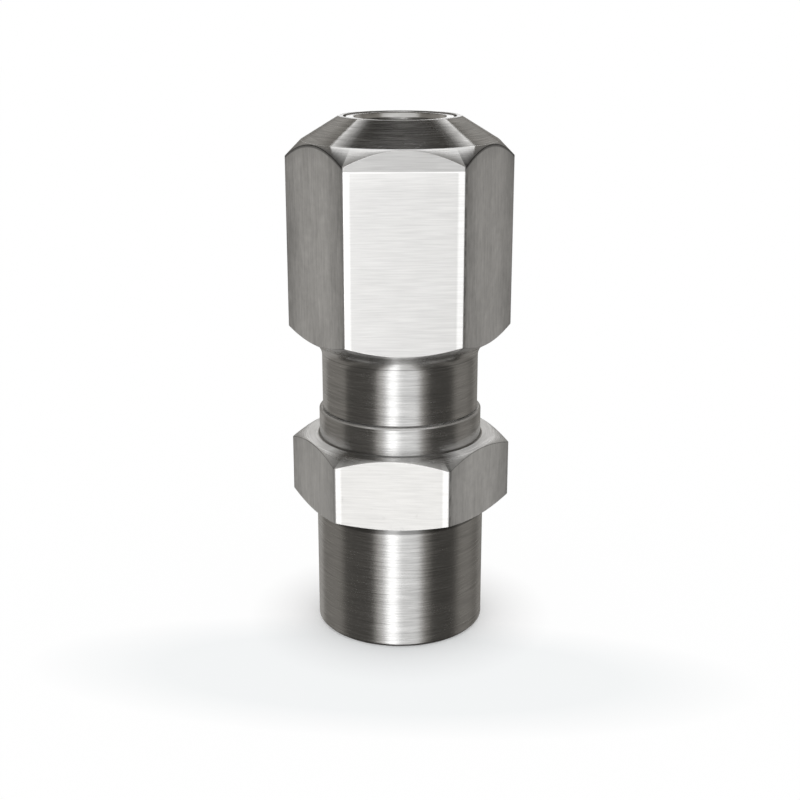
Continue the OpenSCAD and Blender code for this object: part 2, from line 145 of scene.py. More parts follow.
class StudioSettings(bpy.types.PropertyGroup):
    """Camera, floor and light of the studio."""

    azimuth: bpy.props.FloatProperty(
        name="Camera azimuth", description="Angle of the camera round the axis, in degrees",
        default=4.75,
    )
    pitch: bpy.props.FloatProperty(
        name="Camera pitch", description="Angle of the camera below level, in degrees",
        default=16.86,
    )
    distance: bpy.props.FloatProperty(
        name="Camera distance", description="Level distance of the camera from the axis",
        default=0.15953, unit="LENGTH",
    )
    height: bpy.props.FloatProperty(
        name="Camera height", description="Height of the camera over the floor",
        default=0.07756, unit="LENGTH",
    )
    lens: bpy.props.FloatProperty(
        name="Lens", description="Focal length of the camera", default=59.2
    )
    # Colour of the shadow painted on the floor in front of the fitting.
    painted_floor_shadow: bpy.props.FloatVectorProperty(
        name="Floor", description="Colour of the floor beside the fitting",
        subtype="COLOR", size=3, default=(0.905, 0.918, 0.922),
    )


# Surfaces


def hexagon(theta, apothem, corner, turn):
    """Radius of a hex at each angle, the place across a flat, and 1 on its front and back flats.

    On a flat the radius is apothem / cos(d), with d the angle from the flat's middle. At a corner
    it is the circle of radius `corner` that touches both flats, whose centre lies at
    D = (apothem - corner) / cos 30: D cos c + sqrt(corner^2 - (D sin c)^2), with c the angle from
    the corner. The place across is |tan d| / tan 30, 0 at a flat's middle and 1 at its corner.
    """
    d = (theta - turn) % HEX_PITCH - HALF_PITCH
    c = HALF_PITCH - np.abs(d)
    centre = (apothem - corner) / np.cos(HALF_PITCH)
    reach = corner_reach(apothem, corner)
    arc = centre * np.cos(c) + np.sqrt(np.maximum(corner**2 - (centre * np.sin(c)) ** 2, 0))
    side = np.abs(np.tan(d)) / np.tan(HALF_PITCH)
    front = (np.floor((theta - turn) / HEX_PITCH + 1e-6) % 3 == 1).astype(float)
    return np.where(c < reach, arc, apothem / np.cos(d)), side, front


def corner_reach(apothem, corner):
    """Half the angle that a hex's rounded corner takes up round the axis."""
    centre = (apothem - corner) / np.cos(HALF_PITCH)
    return np.arctan2(corner * np.sin(HALF_PITCH), centre + corner * np.cos(HALF_PITCH))


def hex_angles(apothem, corner, turn):
    """Angles round a hex: close together over its corners, and 2.5 degrees apart on its flats."""
    reach = np.degrees(corner_reach(apothem, corner))
    half = np.concatenate(
        [np.linspace(0, reach, 5), [reach + 0.15, 1.6, 2.4, 3.6, 5.2], np.arange(7.5, 30.1, 2.5)]
    )
    sector = np.concatenate([half, 60 - half[-2:0:-1]])
    around = (np.arange(6)[:, None] * 60 + sector[None, :]).ravel()
    return np.radians(around) + turn


def even_angles(count):
    """Even angles round the axis."""
    return np.arange(count) * 2 * np.pi / count


def outline(rows, theta):
    """Rows of (radius, height, rounding) as arrays over the angles, radius and height as numbers
    or as arrays that change round the axis."""
    points = np.empty((len(rows), len(theta), 2))
    for k, row in enumerate(rows):
        points[k, :, 0], points[k, :, 1] = row[0], row[1]
    return points, np.array([row[2] for row in rows], float)


def rounded(points, rounding):
    """Rounds the corners of a closed outline, and gives each new row's share of edge, which is
    negative in a hollow corner.

    A corner C between its neighbours gets the curve (1-s)^2 A + 2s(1-s) C + s^2 B, where A and B
    lie on its two sides at the distance rounding / tan(half the corner's angle), and never
    farther than 0.45 of a side.
    """
    before, after = np.roll(points, 1, axis=0) - points, np.roll(points, -1, axis=0) - points
    length_a = np.linalg.norm(before, axis=2, keepdims=True)
    length_b = np.linalg.norm(after, axis=2, keepdims=True)
    u, v = before / np.maximum(length_a, 1e-9), after / np.maximum(length_b, 1e-9)
    half = np.arccos(np.clip((u * v).sum(axis=2, keepdims=True), -0.9999, 0.9999)) / 2
    back = np.minimum(rounding[:, None, None] / np.tan(half), 0.45 * np.minimum(length_a, length_b))
    start, end = points + u * back, points + v * back
    turn = np.sign((v[..., 0] * u[..., 1] - v[..., 1] * u[..., 0]).mean(axis=1))
    rows, edge = [], []
    for k, size in enumerate(rounding):
        if size == 0:
            rows.append(points[k])
            edge.append(0.0)
            continue
        for s in np.linspace(0, 1, ARC_STEPS + 1):
            rows.append((1 - s) ** 2 * start[k] + 2 * s * (1 - s) * points[k] + s**2 * end[k])
            edge.append(turn[k] * 4 * s * (1 - s) * min(1.0, size / 0.12))
    return np.array(rows), np.array(edge)


def grid_faces(rows, columns, closed_rows):
    """Quads of a grid that is closed round its columns, and round its rows too if told to.

    Quad (m, t) joins (m, t), (m, t+1), (m+1, t+1) and (m+1, t), so that an outline that runs
    anticlockwise in radius and height faces outwards.
    """
    m = np.arange(rows if closed_rows else rows - 1)[:, None]
    t = np.arange(columns)[None, :]
    up, right = (m + 1) % rows, (t + 1) % columns
    corner = [m * columns + t, m * columns + right, up * columns + right, up * columns + t]
    return np.stack([np.broadcast_to(c, (len(m), columns)) for c in corner], axis=-1).reshape(-1, 4)


def mesh_piece(name, points, quads, attributes, poles=()):
    """A smooth mesh object from points in millimetres, quads, point attributes and pole fans.

    Each pole is (row of point numbers, point, turned): a fan of triangles closes that row.
    """
    points = np.concatenate([points] + [np.array([pole[1]]) for pole in poles])
    faces = [quads]
    for k, (ring, _, turned) in enumerate(poles):
        tip = np.full(len(ring), len(points) - len(poles) + k)
        pair = (np.roll(ring, -1), ring) if turned else (ring, np.roll(ring, -1))
        faces.append(np.stack([pair[0], pair[1], tip], axis=-1))
    sizes = np.concatenate([np.full(len(f), f.shape[1]) for f in faces])
    corners = np.concatenate([f.ravel() for f in faces]).astype(np.int32)
    mesh = bpy.data.meshes.new(name)
    mesh.vertices.add(len(points))
    mesh.vertices.foreach_set("co", (points * MM).astype(np.float32).ravel())
    mesh.loops.add(len(corners))
    mesh.loops.foreach_set("vertex_index", corners)
    mesh.polygons.add(len(sizes))
    starts = np.concatenate([[0], np.cumsum(sizes)[:-1]]).astype(np.int32)
    mesh.polygons.foreach_set("loop_start", starts)
    mesh.polygons.foreach_set("loop_total", sizes.astype(np.int32))
    for key, values in attributes.items():
        full = np.zeros(len(points), np.float32)
        full[: values.size] = values.ravel()
        mesh.attributes.new(key, "FLOAT", "POINT").data.foreach_set("value", full)
    mesh.update(calc_edges=True)
    if mesh.validate():
        raise RuntimeError(f"{name} has faces that don't hold together")
    mesh.shade_smooth()
    piece = bpy.data.objects.new(name, mesh)
    bpy.context.scene.collection.objects.link(piece)
    return piece


def turned_piece(name, rows, theta, flat=None, side=0.0, front=0.0):
    """A piece turned round the axis: point(k, theta) = (r cos theta, r sin theta, z) along a
    closed outline. `flat` marks the outline's rows that lie on a hex's flats, and `side` and
    `front` are the place across a flat and the share of front and back, as `hexagon` has them."""
    points, rounding = outline(rows, theta)
    ring, edge = rounded(points, rounding)
    r, z = ring[..., 0], ring[..., 1]
    place = np.stack([r * np.cos(theta), r * np.sin(theta), z], axis=-1).reshape(-1, 3)
    on_edge = np.repeat(edge[:, None], len(theta), axis=1)
    if flat is not None:
        counts = np.where(rounding == 0, 1, ARC_STEPS + 1)
        on_flat = np.repeat(np.array(flat, float), counts)[:, None] * np.ones_like(r)
    else:
        on_flat = np.zeros_like(r)
    across, facing = np.broadcast_to(side, r.shape), np.broadcast_to(front, r.shape)
    return mesh_piece(
        name, place, grid_faces(len(ring), len(theta), True),
        {"edge": on_edge, "flat": on_flat, "across": across, "front": facing},
    )


def seal_rows(mid, section, z, count=20):
    """Outline of a ring of round section: (mid + a cos t, z + a sin t), a half the section."""
    t = np.arange(count) * 2 * np.pi / count
    a = section / 2
    return [(mid + a * np.cos(s), z + a * np.sin(s), 0) for s in t]


def thread_rows(theta, bottom, top, core, crest, pitch):
    """Rows of a right-handed thread: radius core + depth * clip((0.75 - w) / 0.625, 0, 1), with
    w = |2f - 1| and f the turns up the pitch at that angle, fading out at both ends."""
    heights = np.arange(bottom, top + 1e-6, pitch / 16)
    turns = ((heights[:, None] - bottom) / pitch - theta[None, :] / (2 * np.pi)) % 1
    form = np.clip((0.75 - np.abs(2 * turns - 1)) / 0.625, 0, 1)
    fade = np.clip((heights - bottom) / 0.6, 0, 1) * np.clip((top - heights) / 0.5, 0, 1)
    radii = core + (crest - core) * form * fade[:, None]
    return [(radii[k], z, 0) for k, z in enumerate(heights)]


def coil_piece(name, radius, wire, place, sides=12):
    """A coil spring: the wire's section carried along (radius, angle, height) = place(t), with
    point = ((R + w cos b) cos a, (R + w cos b) sin a, z + w sin b), closed by a pole at each end.
    """
    angle, height = place
    b = np.arange(sides) * 2 * np.pi / sides
    r = radius + wire / 2 * np.cos(b)[None, :]
    points = np.stack(
        [
            r * np.cos(angle)[:, None], r * np.sin(angle)[:, None],
            height[:, None] + wire / 2 * np.sin(b)[None, :],
        ],
        axis=-1,
    )
    rows = len(angle)
    quads = grid_faces(rows, sides, False)[:, ::-1]
    first, last = np.arange(sides), np.arange(sides) + (rows - 1) * sides
    centre = [
        np.array([radius * np.cos(angle[k]), radius * np.sin(angle[k]), height[k]])
        for k in (0, -1)
    ]
    return mesh_piece(
        name, points.reshape(-1, 3), quads, {}, [(first, centre[0], False), (last, centre[1], True)]
    )


# Materials


class Value:
    """A socket that takes part in Python arithmetic, and adds a Math node for each step."""

    def __init__(self, finish, socket):
        self.finish, self.socket = finish, socket

    def math(self, operation, first, second=None, clamp=False):
        """One Math node on one or two numbers or values."""
        sockets = {0: first} if second is None else {0: first, 1: second}
        return self.finish.node(
            "ShaderNodeMath", {"operation": operation, "use_clamp": clamp}, sockets
        )

    def __add__(self, other):
        return self.math("ADD", self, other)

    __radd__ = __add__

    def __sub__(self, other):
        return self.math("SUBTRACT", self, other)

    def __rsub__(self, other):
        return self.math("SUBTRACT", other, self)

    def __mul__(self, other):
        return self.math("MULTIPLY", self, other)

    __rmul__ = __mul__

    def __pow__(self, other):
        return self.math("POWER", self, other)

    def __abs__(self):
        return self.math("ABSOLUTE", self)

    def clamp(self):
        """The value held between 0 and 1."""
        return self.math("ADD", self, 0.0, clamp=True)

    def near(self, reach):
        """1 at zero, falling to 0 at the distance `reach` on both sides."""
        return (1.0 - abs(self) * (1 / reach)).clamp()

    def ramp(self, low, high):
        """0 below `low`, 1 above `high` and straight between, with low over high turned round."""
        return ((self - low) * (1 / (high - low))).clamp()


class Finish:
    """A material whose nodes all come from one method."""

    def __init__(self, name):
        self.material = bpy.data.materials.new(name)
        self.material.use_nodes = True
        self.tree = self.material.node_tree
        self.tree.nodes.clear()

    def node(self, kind, settings, sockets, output=0):
        """Any node: its settings are set first, then the values or links of its sockets."""
        made = self.tree.nodes.new(kind)
        for key, value in settings.items():
            setattr(made, key, value)
        for key, value in sockets.items():
            if isinstance(value, Value):
                self.tree.links.new(value.socket, made.inputs[key])
            else:
                made.inputs[key].default_value = value
        return Value(self, made.outputs[output])

    def attribute(self, name):
        """A number that the mesh carries at its points."""
        return self.node("ShaderNodeAttribute", {"attribute_name": name}, {}, "Fac")

    def place(self):
        """The object's own coordinates, as a vector and as three values in metres."""
        vector = self.node("ShaderNodeTexCoord", {}, {}, "Object")
        return vector, [
            self.node("ShaderNodeSeparateXYZ", {}, {"Vector": vector}, axis) for axis in "XYZ"
        ]

    def vector(self, x, y, z):
        """Three values as one vector."""
        return self.node("ShaderNodeCombineXYZ", {}, {"X": x, "Y": y, "Z": z})

    def noise(self, vector, scale=1.0, detail=2.0, rough=0.5):
        """Noise between 0 and 1."""
        return self.node(
            "ShaderNodeTexNoise", {"noise_dimensions": "3D"},
            {"Vector": vector, "Scale": scale, "Detail": detail, "Roughness": rough}, "Fac",
        )

    def mix(self, factor, first, second):
        """A colour between two colours."""
        colours = {
            key: (*value, 1.0) if isinstance(value, tuple) else value
            for key, value in ((6, first), (7, second))
        }
        return self.node(
            "ShaderNodeMix", {"data_type": "RGBA"}, {"Factor": factor, **colours}, 2
        )

    def shade(self, colour, amount):
        """A colour made lighter or darker by a value."""
        return self.node(
            "ShaderNodeVectorMath", {"operation": "SCALE"}, {0: colour, "Scale": amount}
        )

    def bump(self, height, strength, distance):
        """A normal that follows a height."""
        return self.node(
            "ShaderNodeBump", {},
            {"Height": height, "Strength": strength, "Distance": distance},
        )

    def surface(self, sockets):
        """Ends the material in a Principled shader with these sockets."""
        shader = self.node("ShaderNodeBsdfPrincipled", {}, sockets)
        self.node_output(shader)
        return self.material

    def node_output(self, shader):
        """Joins a shader to the material's output."""
        end = self.tree.nodes.new("ShaderNodeOutputMaterial")
        self.tree.links.new(shader.socket, end.inputs["Surface"])


def colour(value):
    """A property's colour as a plain tuple."""
    return tuple(value)


# Heights in metres at which the steel's finish, its painted highlights and its painted shade change
STUB_ROOT = (0.01515, 0.01632)
COLLAR_TOP = (0.02843, 0.02875)
NECK_LINE = 0.0358
NUT_MIDDLE = 0.055
PAINTED_SHEEN_FOOT = 0.0575
SHOULDER_FOOT = 0.059
RIM_HIGHLIGHT_LINE = 0.0593
TOP_LINE = 0.05935
CONE_FOOT = 0.0618

# Radii in metres outside which a mark, a painted highlight or a painted shade lies
MOUTH_RADIUS = 0.00705
NECK_FOOT_RADIUS = 0.0095
EARS_RADIUS = 0.0104
STUB_ROOT_RADIUS = 0.0105

# Widths in metres of the soft steps between finishes
HAIR, FINE, SOFT = 0.00004, 0.00005, 0.0001

# The nut's top chamfer is the cone z + slope * radius = height
CHAMFER_SLOPE, CHAMFER_HEIGHT = 1.0176, 0.0739334


class TurnedSteel(Finish):
    """The places, shares and grains that the marks on turned steel have in common, with the places
    of its painted highlights and shade.
    """

    def __init__(self, name):
        super().__init__(name)
        self.where, (self.x, self.y, self.z) = self.place()
        self.radius = (self.x * self.x + self.y * self.y) ** 0.5
        self.flat, self.edge, self.across, self.front = (
            self.attribute(key) for key in ("flat", "edge", "across", "front")
        )
        self.round = 1.0 - self.flat
        self.beside = 1.0 - self.front
        self.proud = self.edge.clamp()
        self.clouds = self.noise(self.where, scale=180.0, detail=4.0)
        self.blotch = self.noise(self.where, scale=950.0, detail=5.0, rough=0.65)
        self.ends = (abs(self.y) * 1.54 - abs(self.x)).ramp(0.0, 0.0005)
        self.above_top_line = (self.z - TOP_LINE).ramp(0.0, HAIR)
        outside = self.outside(MOUTH_RADIUS) * self.round
        self.cone = (self.z - CONE_FOOT).ramp(0.0, 0.00008) * outside
        self.shoulder = (self.z - SHOULDER_FOOT).ramp(0.0, SOFT) * outside * (1.0 - self.cone)

    def grain(self, round_scale, height_scale, height=None, **settings):
        """Noise that is stretched along or across the height."""
        height = self.z if height is None else height
        return self.noise(
            self.vector(self.x * round_scale, self.y * round_scale, height * height_scale),
            **settings,
        )

    def outside(self, radius):
        """1 outside a radius, with a fine step."""
        return (self.radius - radius).ramp(0.0, FINE)

    def painted_rim_highlights(self, rim_highlight):
        """Painted highlights: bright rims round the front and back flats, a bright line along their
        top, and bright rounded edges on these flats only.
        """
        # Painted highlight strips near the corners of the front and back flats, stopping at the
        # line near their top.
        sides = self.across.ramp(0.865, 0.9) * (1.0 - self.above_top_line)
        painted_rim = (sides + (self.z - RIM_HIGHLIGHT_LINE).near(SOFT)) * self.flat * self.front
        return painted_rim * rim_highlight + self.proud * self.flat * self.front * 0.8

    def painted_matt_highlights(self):
        """Where the surface is made matt and bright, as painted highlights: lines up the cone, the
        shoulder over the front flat and beside it, the left and right of the body's top chamfer,
        and the seam's ledge."""
        # Painted highlight lines up the cone from the corners beside the front and back flats.
        cone_highlight_lines = self.across.ramp(0.46, 0.54) * (0.1 + self.across.ramp(1.0, 0.55) * 0.9)
        cone_highlight_lines = cone_highlight_lines * self.beside * self.ends + self.across.ramp(0.8, 1.0) * self.front * 0.1
        cone_highlight_lines = cone_highlight_lines * (0.55 + (self.clouds - 0.5) * 0.5) * self.cone
        # Painted highlight on the shoulder over the front flat and at the corners beside it.
        corner = (self.across - 1.0 + (self.z - RIM_HIGHLIGHT_LINE) * 200.0).ramp(0.0, 0.04)
        corner = corner * self.beside * self.ends
        shoulder = self.shoulder * (self.front * 0.85 + corner * 0.85)
        normal = self.node("ShaderNodeNewGeometry", {}, {}, "Normal")
        up = self.node("ShaderNodeSeparateXYZ", {}, {"Vector": normal}, "Z")
        # Painted highlights on the left and right of the body's top chamfer.
        ear_highlights = up.ramp(0.8, 0.84) * (self.radius - EARS_RADIUS).ramp(0.0, SOFT) * self.round
        ear_highlights = ear_highlights * (1.0 - self.cone) * (abs(self.x) - abs(self.y) * 0.6).ramp(0.0, 0.003)
        # A faint painted highlight on the seam's ledge.
        low, high = COLLAR_TOP
        seam = (self.z - low).ramp(0.0, HAIR) * (self.z - high).ramp(0.0, -HAIR)
        seam = seam * self.outside(NECK_FOOT_RADIUS)
        return cone_highlight_lines + shoulder + ear_highlights * 0.6 + seam * 0.1

    def painted_shade(self):
        """Painted shade: darkened hollow corners, darkened rounded edges except on the front and
        back flats, a painted dark line where the fillet meets the neck, a painted shadow at the
        stub's root under the hex, and a painted shadow line under the arcs on the nut's side flats."""
        low, high = STUB_ROOT
        # Painted dark line where the fillet meets the neck, and painted shadow under the hex at the
        # stub's root.
        painted_lines = (self.z - NECK_LINE).near(0.00009) * self.round
        root = (self.z - low).ramp(0.0, 0.00015) * (self.z - high).ramp(0.0, -0.00003)
        painted_lines = painted_lines + root * self.outside(STUB_ROOT_RADIUS)
        # Painted shadow line under the arcs on the nut's side flats, mottled by the blotches.
        side = self.flat * self.beside
        arc = (self.z + self.radius * CHAMFER_SLOPE - CHAMFER_HEIGHT) * side
        under = arc.ramp(-0.0018, 0.0) * (self.z - NUT_MIDDLE).ramp(0.0, 0.001) * side
        painted_lines = painted_lines + under * (0.3 + arc.ramp(-0.00032, -0.0002) * (0.8 + self.blotch * 0.6))
        # Painted shade in hollow corners and along the rounded edges off the front and back flats.
        hollow = (0.0 - self.edge).clamp() * 0.65
        return hollow + self.proud * (1.0 - self.flat * self.front) * 0.5 + painted_lines * 0.5

    def grain_and_painted_light(self, lines):
        """How much lighter or darker the flats are than their colour, by place: grain and random
        mottling, painted shade on the side flats towards their corners, darker on the front and
        back flats above the line at their top, and a painted sheen just below it.
        """
        mottle = self.grain(300.0, 110.0, detail=3.0)
        # Painted shade on the side flats towards their corners, speckled on the right-hand side.
        speckled = self.blotch.ramp(0.4, 0.6) * self.ends * self.x.ramp(0.0, 0.001)
        corner_shade = self.across.ramp(0.45, 1.0) * 0.33
        corner_shade = corner_shade + self.across.ramp(0.92, 0.95) * (0.06 + speckled * 0.34)
        milled = (lines - 0.5) * (0.6 - self.front * 0.25)
        milled = milled + (mottle - 0.5) * (0.5 - self.front * 0.45)
        milled = milled + ((self.blotch - 0.5) * 0.35 - corner_shade) * self.beside
        # Painted sheen on the front and back flats just below the line at their top.
        painted_sheen = (self.z - PAINTED_SHEEN_FOOT).ramp(0.0, 0.0018) * (1.0 - self.above_top_line) * self.front
        return milled - self.above_top_line * self.front * 0.26 + painted_sheen * 0.1


def turned_steel(name, tone, flats, highlit, roughness, matt, rim_highlight):
    """Stainless steel with a lathe's fine rings on its turned faces and a milled grain on its
    flats, with painted highlights and painted shade over them. The rings follow z - 0.8 r, which
    changes along cylinders, cones and end faces alike. `matt` is the share of the flats that
    scatters light, `rim_highlight` how bright the painted highlights on their rims are.
    """
    steel = TurnedSteel(name)
    flat, clouds = steel.flat, steel.clouds
    along = steel.z - steel.radius * 0.8
    rings = steel.grain(90.0, 9000.0, along, detail=2.0)
    streaks = steel.grain(260.0, 5600.0, along, detail=4.0, rough=0.6)
    bands = steel.grain(60.0, 1400.0, along, detail=2.0)
    brushed = steel.grain(240.0, 5200.0, detail=3.0)
    drawn = steel.grain(2900.0, 260.0, detail=5.0, rough=0.7)
    lines = brushed * steel.front + drawn * steel.beside
    nicks = steel.noise(steel.where, scale=1400.0, detail=2.0).ramp(0.66, 0.74) * flat
    painted_matt_highlights = steel.painted_matt_highlights()
    # Painted highlights: the rims, edges and matt marks take the painted highlight colour.
    highlit_share = (steel.painted_rim_highlights(rim_highlight) + painted_matt_highlights * 1.6).clamp()
    base = steel.mix(highlit_share, steel.mix(flat, tone, flats), highlit)
    turned = (rings - 0.5) * 0.15 + (streaks - 0.5) * 0.85 + (bands - 0.5) * 0.25
    turned = turned * (steel.round + steel.cone * 0.7)
    light = 1.0 + turned + steel.grain_and_painted_light(lines) * flat + (clouds - 0.5) * 0.1
    # Painted shade darkens the colour.
    light = light * (1.0 - steel.painted_shade().clamp())
    rough = roughness + (streaks - 0.5) * 0.12 + (clouds - 0.5) * 0.08
    rough = rough + flat * 0.07 - steel.proud * 0.05 + nicks * 0.06
    height = (rings + streaks * 2.6) * steel.round + lines * 1.4 * flat - nicks * 0.6
    return steel.surface(
        {
            "Base Color": steel.shade(base, light),
            "Metallic": (1.0 - flat * matt - painted_matt_highlights).clamp(),
            "Roughness": rough.clamp(),
            "Specular Tint": (0.8, 0.8, 0.8, 1.0),
            "Anisotropic": 0.75,
            "Anisotropic Rotation": 0.25,
            "Normal": steel.bump(height, 0.15, 0.00004),
        }
    )


def spring_steel(name, tone):
    """Bright spring steel: fine drawing marks, a light straw and blue cast left by tempering."""
    steel = Finish(name)
    where, (x, y, z) = steel.place()
    grain = steel.noise(steel.vector(x * 400.0, y * 400.0, z * 5000.0), detail=3.0)
    cast = steel.noise(where, scale=260.0, detail=2.0)
    warm = tuple(c * f for c, f in zip(tone, (1.12, 1.0, 0.82)))
    tint = steel.mix(cast.ramp(0.4, 0.7), tone, warm)
    return steel.surface(
        {
            "Base Color": steel.shade(tint, 0.92 + grain * 0.16),
            "Metallic": 1.0,
            "Roughness": (0.24 + (grain - 0.5) * 0.14).clamp(),
            "Normal": steel.bump(grain, 0.15, 0.00003),
        }
    )


def seal_rubber(name, tone):
    """Moulded rubber with a dusty bloom and a faint orange-peel skin."""
    rubber = Finish(name)
    where, _ = rubber.place()
    bloom = rubber.noise(where, scale=500.0, detail=4.0)
    skin = rubber.noise(where, scale=4200.0, detail=2.0)
    dusty = tuple(c * 2.4 + 0.01 for c in tone)
    return rubber.surface(
        {
            "Base Color": rubber.mix(bloom.ramp(0.45, 0.8), tone, dusty),
            "Roughness": (0.5 + (bloom - 0.5) * 0.2).clamp(),
            "Specular IOR Level": 0.4,
            "Normal": rubber.bump(skin, 0.2, 0.00003),
        }
    )


def ring_ptfe(name, tone):
    """Skived white plastic: waxy, with faint knife lines round the ring."""
    plastic = Finish(name)
    where, (x, y, z) = plastic.place()
    lines = plastic.noise(plastic.vector(x * 80.0, y * 80.0, z * 6000.0), detail=2.0)
    clouds = plastic.noise(where, scale=300.0, detail=2.0)
    return plastic.surface(
        {
            "Base Color": plastic.shade(
                plastic.mix(clouds, tone, tuple(c * 0.94 for c in tone)), 0.97 + lines * 0.04
            ),
            "Roughness": (0.42 + (lines - 0.5) * 0.12).clamp(),
            "Normal": plastic.bump(lines, 0.15, 0.00003),
        }
    )


def made_once(name, maker, *values):
    """A material by name, made the first time that it is asked for."""
    return bpy.data.materials.get(name) or maker(name, *values)


def material_for(slot, context):
    """The finish of each of the record's material slots, and of the body's own bar."""
    tones = context.scene.fitting_colours
    turned, flats, highlit = colour(tones.turned), colour(tones.flats), colour(tones.painted_highlight)
    makers = {
        "turned_steel": (turned_steel, turned, flats, highlit, 0.25, 0.18, 1.0),
        "body_steel": (turned_steel, turned, colour(tones.body_flats), highlit, 0.25, 0.3, 0.4),
        "bright_steel": (turned_steel, colour(tones.bright), flats, highlit, 0.2, 0.18, 1.0),
        "spring_steel": (spring_steel, colour(tones.spring)),
        "rubber": (seal_rubber, colour(tones.rubber)),
        "ptfe": (ring_ptfe, colour(tones.ptfe)),
    }
    return made_once(slot + "_finish", *makers[slot])


def body_with(node):
    """The moving body that carries a node."""
    groups = frame["record"]["behaviour"]["bodies"]
    return next(body for body, members in groups.items() if node in members)


def stand_for(piece, node, slot, context, weighted=True, finish=None):
    """Dresses a new piece, lets it ride on its node's body and stand for that node."""
    piece.data.materials.append(material_for(finish or slot, context))
    if weighted:
        even = piece.modifiers.new("even_faces", "WEIGHTED_NORMAL")
        even.mode, even.weight, even.keep_sharp = "FACE_AREA", 80, False
    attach(piece, body_with(node))
    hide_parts(node)


def dress_node(node, slot, context):
    """Gives a CAD node that stays the finish of its slot."""
    shown = frame["nodes"][node]
    finish = material_for(slot, context)
    if shown.material_slots:
        for place in shown.material_slots:
            place.material = finish
    else:
        shown.data.materials.append(finish)


# One operator for each piece or group of like pieces


class FITTING_OT_body(bpy.types.Operator):
    """Make the fitting's body: stub, chamfered hex, collar, threaded boss and inner bores"""

    bl_idname = "fitting.body"
    bl_label = "Body"

    def execute(self, context):
        sizes = context.scene.fitting_sizes
        apothem, corner, edge = sizes.body_flats / 2, sizes.hex_corner, sizes.edge_break
        theta = hex_angles(apothem, corner, 0)
        h, side, front = hexagon(theta, apothem, corner, 0)
        stub, collar = sizes.stub_radius, sizes.collar_radius
        start, hex_foot, hex_top = apothem - 0.15, 16.3, 25.15
        low = hex_foot + (h - start) * np.tan(np.radians(20))
        high = hex_top - (h - start) * np.tan(np.radians(30))
        below = [
            (8.4, 0, 0.1), (stub - 0.4, 0, 0.1), (stub, 0.4, 0.15), (stub, hex_foot, 0.2),
            (start, hex_foot, 0.08),
        ]
        hexed = [(h, low, edge), (h, high, edge)]
        above = [
            (start, hex_top, 0.08), (collar, hex_top, 0.2), (collar, 28.45, 0.05),
            (collar - 0.2, 28.65, 0.05), (8.45, 28.65, 0.04), (8.45, 29.1, 0.05),
            (7.2, 29.1, 0.08), (7.2, 30.5, 0.08), (8.15, 30.5, 0.04),
        ]
        thread = thread_rows(theta, 30.9, 36.45, 7.837, 8.45, 1.0)
        boss = [
            (7.9, 36.5, 0.02), (7.9, 42.5, 0.08), (7.3, 42.5, 0.06), (7.3, 43.8, 0.04),
            (7.1, 44, 0.04),
        ]
        inside = [
            (6.57, 44, 0.06), (6.57, 40, 0.08), (5.1, 40, 0.12), (5.1, 32.3, 0.2),
            (5.03, 29, 0.05), (4.5, 29, 0.06), (4.5, 25.6, 0.3), (6.3, 23.8, 0.1), (8, 23.8, 0.3),
            (8, 7.55, 0.03), (8.4, 7.55, 0.03), (8.4, 6.45, 0.03), (8, 6.45, 0.03), (8, 0.4, 0.08),
        ]
        rows = below + hexed + above + thread + boss + inside
        flat = [0] * len(below) + [1, 1] + [0] * (len(rows) - len(below) - 2)
        piece = turned_piece("steel_body", rows, theta, flat, side, front)
        stand_for(piece, "body", "turned_steel", context, finish="body_steel")
        return {"FINISHED"}


class FITTING_OT_cap_nut(bpy.types.Operator):
    """Make the cap nut: neck with its fillet, long hex, shoulder, cone and bored inside"""

    bl_idname = "fitting.cap_nut"
    bl_label = "Cap nut"

    def execute(self, context):
        sizes = context.scene.fitting_sizes
        apothem, corner, edge = sizes.nut_flats / 2, sizes.hex_corner, sizes.edge_break
        turn, neck = np.radians(sizes.nut_turn), sizes.neck_radius
        theta = hex_angles(apothem, corner, turn)
        h, side, front = hexagon(theta, apothem, corner, turn)
        fillet, slope, flat_z = 2.4, np.radians(30), 38
        centre_r = neck + fillet
        centre_z = flat_z + (centre_r - apothem) * np.tan(slope) - fillet / np.cos(slope)
        sweep = np.linspace(0, np.pi / 2 - slope, 13)
        under = [
            (centre_r - fillet * np.cos(a), centre_z + fillet * np.sin(a), 0) for a in sweep
        ]
        shoulder_r, shoulder_z = apothem - 0.1, 61.824
        low = flat_z + (h - apothem) * np.tan(slope)
        high = shoulder_z - (h - shoulder_r) * np.tan(np.radians(45.5))
        below = [(8.5, 28.65, 0.08), (neck - 0.2, 28.65, 0.03), (neck, 28.85, 0.04)] + under
        above = [
            (shoulder_r, shoulder_z, 0.12), (7.37, 64.6, 0.1), (6.75, 64.6, 0.12),
            (6.75, 61.4, 0.05), (6.2, 61.4, 0.06), (6.2, 60.9, 0.05), (7.2, 60.9, 0.05),
            (7.2, 59.8, 0.05), (6.2, 59.8, 0.05), (6.2, 59.3, 0.06), (6.75, 59.3, 0.05),
            (6.75, 58, 0.1), (7.95, 54.31, 0.3), (7.95, 44, 0.04), (8.45, 44, 0.04),
            (8.45, 42.9, 0.04), (7.95, 42.9, 0.04), (7.95, 37.2, 0.05), (8.5, 37.2, 0.08),
        ]
        rows = below + [(h, low, edge), (h, high, edge)] + above
        flat = [0] * len(below) + [1, 1] + [0] * len(above)
        piece = turned_piece("steel_cap_nut", rows, theta, flat, side, front)
        stand_for(piece, "cap_nut", "turned_steel", context)
        return {"FINISHED"}


